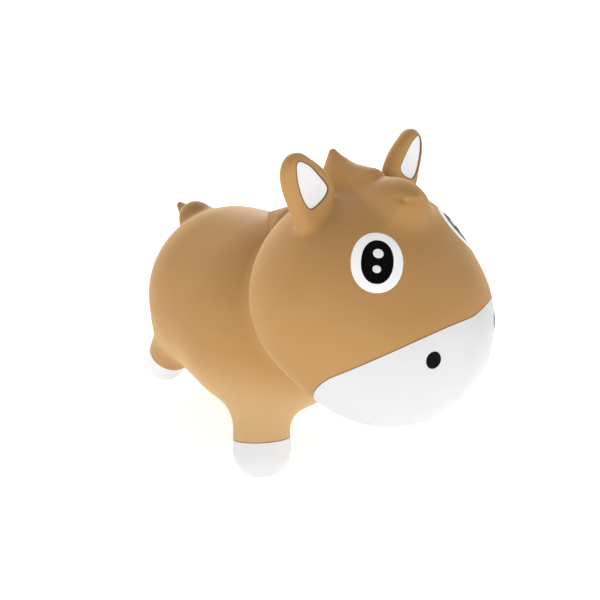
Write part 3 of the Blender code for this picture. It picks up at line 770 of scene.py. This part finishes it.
# The four whites are one white paint at different brightness: the hooves, ear linings and eye whites are
# brighter copies of the muzzle's white, painted light standing in for how the light falls on each
hoofWhitePaintedLightLook = dict(whiteLook, dark=(0.65, 0.65, 0.655), light=(0.69, 0.69, 0.695))
liningWhitePaintedLightLook = dict(whiteLook, dark=(0.76, 0.76, 0.765), light=(0.80, 0.80, 0.805))
eyeWhitePaintedLightLook = dict(whiteLook, dark=(0.90, 0.90, 0.905), light=(0.93, 0.93, 0.935), worn=(0.84, 0.83, 0.82))
tanVinyl = vinyl("tanVinyl", tanLook)
eyeWhitePaintedLight = vinyl("eyeWhitePaintedLight", eyeWhitePaintedLightLook)
hoofPaint = vinyl("hoofPaint", hoofWhitePaintedLightLook)
liningWhitePaintedLight = vinyl("liningWhitePaintedLight", liningWhitePaintedLightLook)
whitePaint = vinyl("whitePaint", whiteLook)
blackPaint = vinyl("blackPaint", blackLook)
glintPaint = vinyl("glintPaint", glintLook)
valveVinyl = vinyl("valveVinyl", valveLook)
print("finishes made")

skin = makeSkin()
print("skin cut into pieces:", len(skin["points"]), "points,", len(skin["faces"]), "faces")


def fitted(thing, slot, body, *nodes):
    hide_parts(*nodes)
    if body:
        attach(thing, body)
    return thing


fitted(skinPiece("hideTrunk", skin, None, 0, tanVinyl), "tan_vinyl", "hide", "hide_body")
fitted(skinPiece("hideHead", skin, "head", 0, tanVinyl), "tan_vinyl", "hide", "hide_head")
fitted(skinPiece("muzzlePaint", skin, "muzzle", 0, whitePaint), "white_vinyl", "hide", "muzzle")
fitted(skinPiece("crownMane", skin, "mane", 0, tanVinyl), "tan_vinyl", "hide", "mane_crown")
fitted(skinPiece("browForelock", skin, "forelock", 0, tanVinyl), "tan_vinyl", "hide", "forelock")
fitted(skinPiece("napeTuft", skin, "nape", 0, tanVinyl), "tan_vinyl", "hide", "mane_nape")
fitted(skinPiece("tailTuft", skin, "tail", 0, tanVinyl), "tan_vinyl", "hide", "tail")
print("trunk, head and hair made")

sides = (("left", "Left", 1), ("right", "Right", -1))


def boundaryHeights(thing, start, direction):
    # Heights over the start, along the direction, of the points on the piece's open edges
    shape = bmesh.new()
    shape.from_mesh(thing.data)
    rims = [v.co.copy() for v in shape.verts if v.is_boundary]
    shape.free()
    return [(rim - start).dot(direction) for rim in rims]


for sideName, label, side in sides:
    mirror = Vector((side, 1, 1))
    for legName, leg in legs.items():
        zoneLabel = legName.capitalize()
        shank = skinPiece("leg%s%s" % (zoneLabel, label), skin, "leg" + zoneLabel, side, tanVinyl)
        fitted(shank, "tan_vinyl", None, "leg_%s_%s" % (legName, sideName))
        hoofNode = "hoof_%s_%s" % (legName, sideName)
        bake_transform(shank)
        hoof = skinPiece("hoof%s%s" % (zoneLabel, label), skin, "hoof" + zoneLabel, side, hoofPaint)
        fitted(hoof, "white_vinyl", hoofNode, hoofNode)
    leaf = zoneFaces(skin, "lining", side)
    wall = recessWall(skin, zoneFaces(skin, "ear", side), leaf, liningLevel, ear["recess"])
    blade = skinPiece("ear" + label, skin, "ear", side, tanVinyl, wall=wall)
    fitted(blade, "tan_vinyl", None, "ear_" + sideName, "ear_root_" + sideName)
    base, normal = earBase * mirror, earNormal * mirror
    rootHeight = max(h for h in boundaryHeights(blade, base, normal) if h < ear["rootReach"])
    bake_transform(blade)
    inset = skinPiece("earLining" + label, skin, "lining", side, liningWhitePaintedLight, sink=ear["recess"])
    fitted(inset, "white_vinyl", "ear_" + sideName, "ear_lining_" + sideName)
print("legs, hooves and ears made")


# Coats of paint: a domed patch laid on the skin, closed underneath
paint = {
    "sink": 0.0003, "rings": 10, "sides": 72, "edgeShare": 0.1, "edgeRings": (0.97, 0.99, 1.0),
    "laySteps": 14, "leastLean": 0.3,
}


def patchPiece(name, place, axes, outline, height, finish):
    across, up, out = (np.array(axis) for axis in axes)
    place = np.array(place)
    sides = paint["sides"]
    shares = [*np.linspace(0, 1, paint["rings"] + 1)[1:-1], *paint["edgeRings"]]
    angles = np.linspace(0, 2 * math.pi, sides, endpoint=False)
    reach = outline(angles)
    rows = [place[None]]
    for share in shares:
        flat = reach * share
        rows.append(place + across * flat[:, :1] + up * flat[:, 1:])
    points = np.vstack(rows)
    for _ in range(paint["laySteps"]):
        normals = slopes(skinForm, points)
        lean = np.maximum(normals @ out, paint["leastLean"])
        points = points - out * (skinForm(points) / lean)[:, None]
    normals = slopes(skinForm, points)
    share = np.concatenate([[0]] + [np.full(sides, s) for s in shares])
    down = np.maximum(share - (1 - paint["edgeShare"]), 0) / paint["edgeShare"]
    dome = np.sqrt(np.maximum(1 - down**2, 0))
    top = points + normals * (height * dome)[:, None]
    rim = np.arange(sides) + 1 + (len(shares) - 1) * sides
    under = points[rim] - normals[rim] * paint["sink"]
    bottom = points[:1] - normals[:1] * paint["sink"]
    faces = []
    for i in range(sides):
        j = (i + 1) % sides
        faces.append((0, 1 + i, 1 + j))
        for ring in range(len(shares) - 1):
            a, b = 1 + ring * sides, 1 + (ring + 1) * sides
            faces.append((a + i, b + i, b + j, a + j))
        a, b = rim[0], len(top)
        faces.append((a + i, b + i, b + j, a + j))
        faces.append((len(top) + sides, b + j, b + i))
    mesh = bpy.data.meshes.new(name)
    mesh.from_pydata(np.vstack([top, under, bottom]).tolist(), [], faces)
    mesh.shade_smooth()
    thing = newObject(name, mesh, finish)
    shape = bmesh.new()
    shape.from_mesh(mesh)
    bmesh.ops.recalc_face_normals(shape, faces=shape.faces)
    shape.to_mesh(mesh)
    shape.free()
    return thing


def oval(halfWidth, halfHeight, squareness=2.0):
    def outline(angles):
        cosine, sine = np.cos(angles), np.sin(angles)
        size = (np.abs(cosine) ** squareness + np.abs(sine) ** squareness) ** (-1 / squareness)
        return np.column_stack([halfWidth * cosine * size, halfHeight * sine * size])
    return outline


def seat(start, heading, elevation, mirror, roll=0.0):
    place = reached(headForm, Vector(start), headingDirection(heading, elevation))
    out = Vector(slopes(headForm, np.array([place]))[0])
    up = Vector((0, 0, 1))
    up = (up - out * up.dot(out)).normalized()
    up = Matrix.Rotation(math.radians(roll), 3, out) @ up
    across = up.cross(out)
    return place * mirror, (across * mirror, up * mirror, out * mirror)


eye = {
    "heading": 46.2, "elevation": 39.0, "roll": 9.0, "white": (0.0274, 0.0333), "pupil": (0.0174, 0.0246),
    "whiteSquareness": 2.1, "pupilSquareness": 2.15, "glintFlatness": 0.92,
    "upperGlint": 0.0058, "upperRise": 0.0088, "lowerGlint": 0.0046, "lowerRise": -0.0084,
    "whiteHeight": 0.00025, "pupilHeight": 0.0004, "glintHeight": 0.00055,
}
nostril = {"heading": 35.6, "elevation": 18.9, "half": (0.0089, 0.0096), "height": 0.0003}


def glintOval(size):
    return oval(size, size * eye["glintFlatness"])


for sideName, label, side in sides:
    mirror = Vector((side, 1, 1))
    place, axes = seat(head["cranium"], eye["heading"], eye["elevation"], mirror, eye["roll"])
    coats = (
        ("eyeWhite", oval(*eye["white"], eye["whiteSquareness"]), 0,
         eye["whiteHeight"], eyeWhitePaintedLight, "white_vinyl", "eye_white_"),
        ("eyePupil", oval(*eye["pupil"], eye["pupilSquareness"]), 0,
         eye["pupilHeight"], blackPaint, "black_paint", "eye_pupil_"),
        ("eyeGlintUpper", glintOval(eye["upperGlint"]), eye["upperRise"],
         eye["glintHeight"], glintPaint, "glint_paint", "eye_glint_upper_"),
        ("eyeGlintLower", glintOval(eye["lowerGlint"]), eye["lowerRise"],
         eye["glintHeight"], glintPaint, "glint_paint", "eye_glint_lower_"),
    )
    for name, outline, rise, height, finish, slot, node in coats:
        coat = patchPiece(name + label, place + axes[1] * rise, axes, outline, height, finish)
        fitted(coat, slot, "hide", node + sideName)
    place, axes = seat(head["snout"], nostril["heading"], nostril["elevation"], mirror)
    coat = patchPiece("nostril" + label, place, axes, oval(*nostril["half"]), nostril["height"], blackPaint)
    fitted(coat, "black_paint", "hide", "nostril_" + sideName)
print("eyes and nostrils painted")


def turnedMesh(name, profile, steps, closed, outwards):
    # Turns a profile of (radius, height) round the middle
    count = len(profile)
    points, faces = [], []
    for step in range(steps):
        turn = 2 * math.pi * step / steps
        points += [(r * math.cos(turn), r * math.sin(turn), z) for r, z in profile]
    for step in range(steps):
        a, b = step * count, (step + 1) % steps * count
        for i in range(count if closed else count - 1):
            j = (i + 1) % count
            faces.append((a + i, b + i, b + j, a + j))
    mesh = bpy.data.meshes.new(name)
    mesh.from_pydata(points, [], faces)
    shape = bmesh.new()
    shape.from_mesh(mesh)
    bmesh.ops.remove_doubles(shape, verts=shape.verts, dist=1e-6)
    if outwards:
        bmesh.ops.recalc_face_normals(shape, faces=shape.faces)
    shape.to_mesh(mesh)
    shape.free()
    return mesh


# Air valve: turned pieces with eased edges. Pairs are (radius, height)
valve = {
    "flange": (0.016, 0.002), "sleeve": (0.009, 0.016), "bore": 0.0048, "gap": 0.0003,
    "head": (0.0085, 0.0025), "stem": 0.0185, "tip": 0.0034,
    "steps": 64, "ease": 0.0004, "easeSegments": 3, "easeAngle": 35,
}


def turnedPiece(name, profile, place, finish):
    mesh = turnedMesh(name, profile, valve["steps"], profile[0][0] > 0, True)
    mesh.transform(Matrix.Translation(place))
    mesh.shade_smooth()
    thing = newObject(name, mesh, finish)
    bevel = thing.modifiers.new("ease", "BEVEL")
    bevel.width = valve["ease"]
    bevel.segments = valve["easeSegments"]
    bevel.limit_method = "ANGLE"
    bevel.angle_limit = math.radians(valve["easeAngle"])
    return thing


valvePlace = Vector((0, trunk["chest"][1], flatZ - trunk["bossHeight"]))
low = -valve["gap"] - valve["flange"][1]
seatProfile = [
    (valve["flange"][0], low), (valve["flange"][0], -valve["gap"]), (valve["sleeve"][0], -valve["gap"]),
    (valve["sleeve"][0], valve["sleeve"][1]), (valve["bore"], valve["sleeve"][1]), (valve["bore"], low),
]
valveSeat = turnedPiece("valveSeat", seatProfile, valvePlace, valveVinyl)
fitted(valveSeat, "valve_vinyl", "hide", "valve_seat")
top = low - valve["gap"]
stemRadius = valve["bore"] - valve["gap"]
plugProfile = [
    (0.0, top - valve["head"][1]), (valve["head"][0], top - valve["head"][1]), (valve["head"][0], top),
    (stemRadius, top), (stemRadius, top + valve["stem"] - stemRadius), (valve["tip"], top + valve["stem"]),
    (0.0, top + valve["stem"]),
]
valvePlug = turnedPiece("valvePlug", plugProfile, valvePlace, valveVinyl)
fitted(valvePlug, "valve_vinyl", "valve_plug", "valve_plug")
print("valve made")


# Studio: a glowing white table with a paper sweep round it, soft lamps and the camera
studio = {
    "floorLevel": -0.0002, "flatRadius": 0.8, "floorRadius": 3.6, "sweepRadius": 0.8, "wallHeight": 2.6,
    "turnSteps": 96, "sweepSteps": 12, "tableGlow": 0.483, "paperGlow": 0.51, "world": 0.08,
    "pictureRight": (0.688, -0.725, 0), "pictureBack": (0.69, 0.72, 0), "aimHeight": 0.2,
    "lamps": {
        "back": {"from": (0, 1, 0.35), "power": 18.9},
        "backTop": {"from": (0, 1, 1), "power": 17.0},
        "backLeftTop": {"from": (-1, 1, 1), "power": 8.5},
        "frontLeft": {"from": (-1, -1, 0.4), "power": 3.9},
        "front": {"from": (0, -1, 0.3), "power": 12.0},
        "leftTop": {"from": (-1, 0, 1), "power": 3.6},
        "frontRight": {"from": (1, -0.5, 0.15), "power": 7.0},
    },
    "lampSize": 1.3, "lampDistance": 2.2,
}


paperLook = {
    "dark": (0.90, 0.90, 0.90), "light": (0.92, 0.92, 0.92), "cloudScale": 2.5, "cloudRange": (0.3, 0.7),
    "grainScale": 400.0, "grainStrength": 0.05, "grainHeight": 0.0005, "roughness": 0.9, "shine": 0.1,
}


def paperFinish(name, glow):
    finish, nodes, links, shader = newFinish(name)
    place = nodes.new("ShaderNodeTexCoord").outputs["Object"]
    cloud = noise(nodes, links, place, paperLook["cloudScale"])
    cloud = mapped(nodes, links, cloud, *paperLook["cloudRange"], 0, 1)
    colour = mixed(nodes, links, cloud, paperLook["dark"], paperLook["light"])
    links.new(colour, shader.inputs["Base Color"])
    fibres = noise(nodes, links, place, paperLook["grainScale"])
    normal = bumped(nodes, links, fibres, paperLook["grainStrength"], paperLook["grainHeight"])
    links.new(normal, shader.inputs["Normal"])
    shader.inputs["Roughness"].default_value = paperLook["roughness"]
    shader.inputs["Specular IOR Level"].default_value = paperLook["shine"]
    shader.inputs["Emission Color"].default_value = (1, 1, 1, 1)
    shader.inputs["Emission Strength"].default_value = glow
    return finish


def stagePiece(name, profile, finish):
    mesh = turnedMesh(name, profile, studio["turnSteps"], False, False)
    mesh.shade_smooth()
    thing = newObject(name, mesh, finish)
    return thing


floorLevel = studio["floorLevel"]
table = [(radius, floorLevel) for radius in (0, studio["flatRadius"], studio["floorRadius"])]
stagePiece("table", table, paperFinish("glowingTable", studio["tableGlow"]))
sweep = []
for turn in np.linspace(0, math.pi / 2, studio["sweepSteps"]):
    sweep.append((studio["floorRadius"] + studio["sweepRadius"] * math.sin(turn),
                  floorLevel + studio["sweepRadius"] * (1 - math.cos(turn))))
sweep.append((sweep[-1][0], studio["wallHeight"]))
stagePiece("paperSweep", sweep, paperFinish("sweepPaper", studio["paperGlow"]))

world = bpy.data.worlds.new("studio")
bpy.context.scene.world = world
world.use_nodes = True
backdrop = world.node_tree.nodes["Background"]
backdrop.inputs["Color"].default_value = (1, 1, 1, 1)
backdrop.inputs["Strength"].default_value = studio["world"]
pictureRight, pictureBack = Vector(studio["pictureRight"]), Vector(studio["pictureBack"])
for name, lamp in studio["lamps"].items():
    data = bpy.data.lights.new(name, "AREA")
    data.shape = "DISK"
    data.size = studio["lampSize"]
    data.energy = lamp["power"]
    thing = bpy.data.objects.new(name, data)
    bpy.context.scene.collection.objects.link(thing)
    thing.visible_camera = False
    right, back, high = lamp["from"]
    aim = (pictureRight * right + pictureBack * back + Vector((0, 0, high))).normalized()
    thing.location = Vector((0, 0, studio["aimHeight"])) + aim * studio["lampDistance"]
    thing.rotation_mode = "QUATERNION"
    thing.rotation_quaternion = (-aim).to_track_quat("-Z", "Y")

view = {
    "place": (-0.5403, -0.5175, 0.6174), "azimuth": -46.5, "down": 27.74, "roll": 2.62,
    "lens": 36.0, "sensor": 36.0, "clipEnd": 100,
}
cameraData = bpy.data.cameras.new("camera")
cameraData.lens = view["lens"]
cameraData.sensor_width = view["sensor"]
cameraData.clip_end = view["clipEnd"]
camera = bpy.data.objects.new("camera", cameraData)
bpy.context.scene.collection.objects.link(camera)
heading = Matrix.Rotation(math.radians(view["azimuth"]), 4, "Z")
tilt = Matrix.Rotation(math.radians(90 - view["down"]), 4, "X")
roll = Matrix.Rotation(math.radians(view["roll"]), 4, "Z")
camera.matrix_world = Matrix.Translation(view["place"]) @ heading @ tilt @ roll
bpy.context.scene.camera = camera
bpy.context.scene.view_settings.view_transform = "Standard"
print("studio set")
